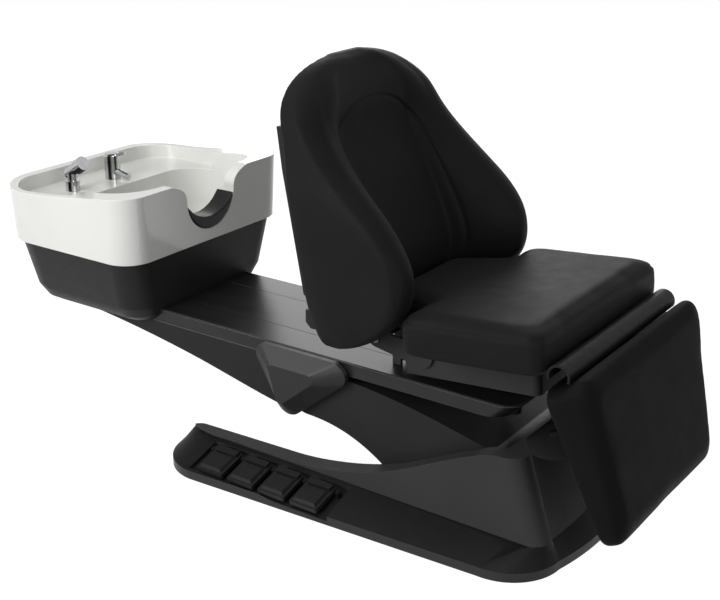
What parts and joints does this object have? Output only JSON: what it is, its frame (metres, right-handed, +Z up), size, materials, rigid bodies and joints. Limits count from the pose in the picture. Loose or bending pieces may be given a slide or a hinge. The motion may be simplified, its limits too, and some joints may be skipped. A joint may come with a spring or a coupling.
{
  "type": "hair washing bed",
  "caption": "Salon shampoo bed with a rear wash basin, reclining winged back, seat, hinged leg rest and a lift arm on a low pedal base.",
  "frame": {"origin": "on the floor, under the axis of the lift pivot, midway across the bed", "axes": "+X from the basin towards the leg rest, +Y across the bed, away from the side with the pedals, +Z up"},
  "size_m": [1.7039, 0.66, 0.993],
  "materials": {
    "leather": "grained",
    "plastic": "satin",
    "deck_paint": "satin",
    "pedal": "satin",
    "frame_paint": "satin",
    "steel": "brushed",
    "board": "raw",
    "ceramic": "gloss",
    "neck": "satin",
    "chrome": "polished",
    "glide": "matt"
  },
  "bodies": {
    "base": {"base_plate": "frame_paint", "base_glides": "glide", "base_cover": "plastic", "tower_cover": "plastic", "base_frame": "frame_paint", "base_pins": "steel", "pedal_tray": "plastic", "pedal_shaft": "steel"},
    "arm": {"arm_cover": "plastic", "arm_frame": "frame_paint", "arm_ram_pin": "steel"},
    "link": {"leveling_link": "frame_paint"},
    "ram_body": {"lift_ram_body": "frame_paint"},
    "ram_rod": {"lift_ram_rod": "steel"},
    "deck": {"deck_tray": "deck_paint", "deck_panel": "deck_paint", "beam_cover": "plastic", "deck_frame": "frame_paint", "deck_pins": "steel", "tilt_pivot": "frame_paint", "pivot_cover_left": "plastic", "pivot_cover_right": "plastic", "tilt_jack_housing": "frame_paint", "basin": "ceramic", "neck_pad": "neck", "basin_housing": "plastic", "drain_flange": "chrome", "waste_trap": "plastic", "mixer_body": "chrome", "shower_holder": "chrome"},
    "pedal_a": {"pedal_1": "pedal"},
    "pedal_b": {"pedal_2": "pedal"},
    "pedal_c": {"pedal_3": "pedal"},
    "pedal_d": {"pedal_4": "pedal"},
    "seat": {"seat_frame": "frame_paint", "seat_board": "board", "seat_cushion": "leather", "seat_brackets": "frame_paint", "leg_brackets": "frame_paint", "recline_drive": "plastic", "legrest_drive": "plastic", "gap_cover": "plastic"},
    "jack": {"tilt_jack_plunger": "steel"},
    "back": {"back_shaft": "steel", "back_frame": "frame_paint", "back_shell": "plastic", "back_cushion": "leather", "back_cap_left": "plastic", "back_cap_right": "plastic"},
    "legrest": {"leg_shaft": "steel", "legrest_frame": "frame_paint", "legrest_board": "board", "legrest_cushion": "leather"},
    "tap_lever": {"mixer_lever": "chrome"},
    "spray": {"hand_shower": "chrome"},
    "strainer": {"drain_strainer": "chrome"}
  },
  "joints": [
    {"name": "lift", "type": "hinge", "parent": "base", "child": "arm", "pos_m": [0, 0, 0.137], "axis": [0, 1, 0], "range_deg": [0, 30]},
    {"name": "deck_level", "type": "hinge", "parent": "arm", "child": "deck", "pos_m": [-0.51, 0, 0.232], "axis": [0, 1, 0], "range_deg": [-30, 0]},
    {"name": "link_swing", "type": "hinge", "parent": "base", "child": "link", "pos_m": [0, 0, 0.092], "axis": [0, 1, 0], "range_deg": [0, 30]},
    {"name": "ram_swing", "type": "hinge", "parent": "base", "child": "ram_body", "pos_m": [-0.07, 0, 0.038], "axis": [0, 1, 0], "range_deg": [0, 29.6]},
    {"name": "ram_extend", "type": "slide", "parent": "ram_body", "child": "ram_rod", "axis": [-0.8991, 0, 0.4378], "range_m": [0, 0.0638]},
    {"name": "pedal_a_press", "type": "hinge", "parent": "base", "child": "pedal_a", "pos_m": [-0.682, -0.24665, 0.04893], "axis": [1, 0, 0], "range_deg": [0, 4], "stiffness_Nm_per_rad": 12, "springref_deg": -6.88},
    {"name": "pedal_b_press", "type": "hinge", "parent": "base", "child": "pedal_b", "pos_m": [-0.59, -0.24665, 0.04893], "axis": [1, 0, 0], "range_deg": [0, 4], "stiffness_Nm_per_rad": 12, "springref_deg": -6.88},
    {"name": "pedal_c_press", "type": "hinge", "parent": "base", "child": "pedal_c", "pos_m": [-0.498, -0.24665, 0.04893], "axis": [1, 0, 0], "range_deg": [0, 4], "stiffness_Nm_per_rad": 12, "springref_deg": -6.88},
    {"name": "pedal_d_press", "type": "hinge", "parent": "base", "child": "pedal_d", "pos_m": [-0.406, -0.24665, 0.04893], "axis": [1, 0, 0], "range_deg": [0, 4], "stiffness_Nm_per_rad": 12, "springref_deg": -6.88},
    {"name": "seat_tilt", "type": "hinge", "parent": "deck", "child": "seat", "pos_m": [-0.294, 0, 0.352], "axis": [0, 1, 0], "range_deg": [0, 5]},
    {"name": "jack_slide", "type": "slide", "parent": "deck", "child": "jack", "axis": [0, 0, -1], "range_m": [0, 0.021]},
    {"name": "back_recline", "type": "hinge", "parent": "seat", "child": "back", "pos_m": [-0.31971, 0, 0.40496], "axis": [0, -1, 0], "range_deg": [0, 58]},
    {"name": "legrest_raise", "type": "hinge", "parent": "seat", "child": "legrest", "pos_m": [0.16765, 0, 0.4737], "axis": [0, -1, 0], "range_deg": [0, 68]},
    {"name": "tap_turn", "type": "hinge", "parent": "deck", "child": "tap_lever", "pos_m": [-1.29, 0.022, 0.618], "axis": [0, 0, 1], "range_deg": [-45, 45]},
    {"name": "spray_lift", "type": "slide", "parent": "deck", "child": "spray", "axis": [0, 0, 1], "range_m": [0, 0.06]},
    {"name": "strainer_lift", "type": "slide", "parent": "deck", "child": "strainer", "axis": [0, 0, 1], "range_m": [0, 0.05]}
  ],
  "couplings": [
    {"joint": "deck_level", "follows": "lift", "ratio": -1},
    {"joint": "link_swing", "follows": "lift", "ratio": 1},
    {"joint": "ram_swing", "follows": "lift", "ratio": 0.978},
    {"joint": "ram_extend", "follows": "lift", "m_per_rad": 0.12082},
    {"joint": "jack_slide", "follows": "seat_tilt", "m_per_rad": 0.2347}
  ]
}
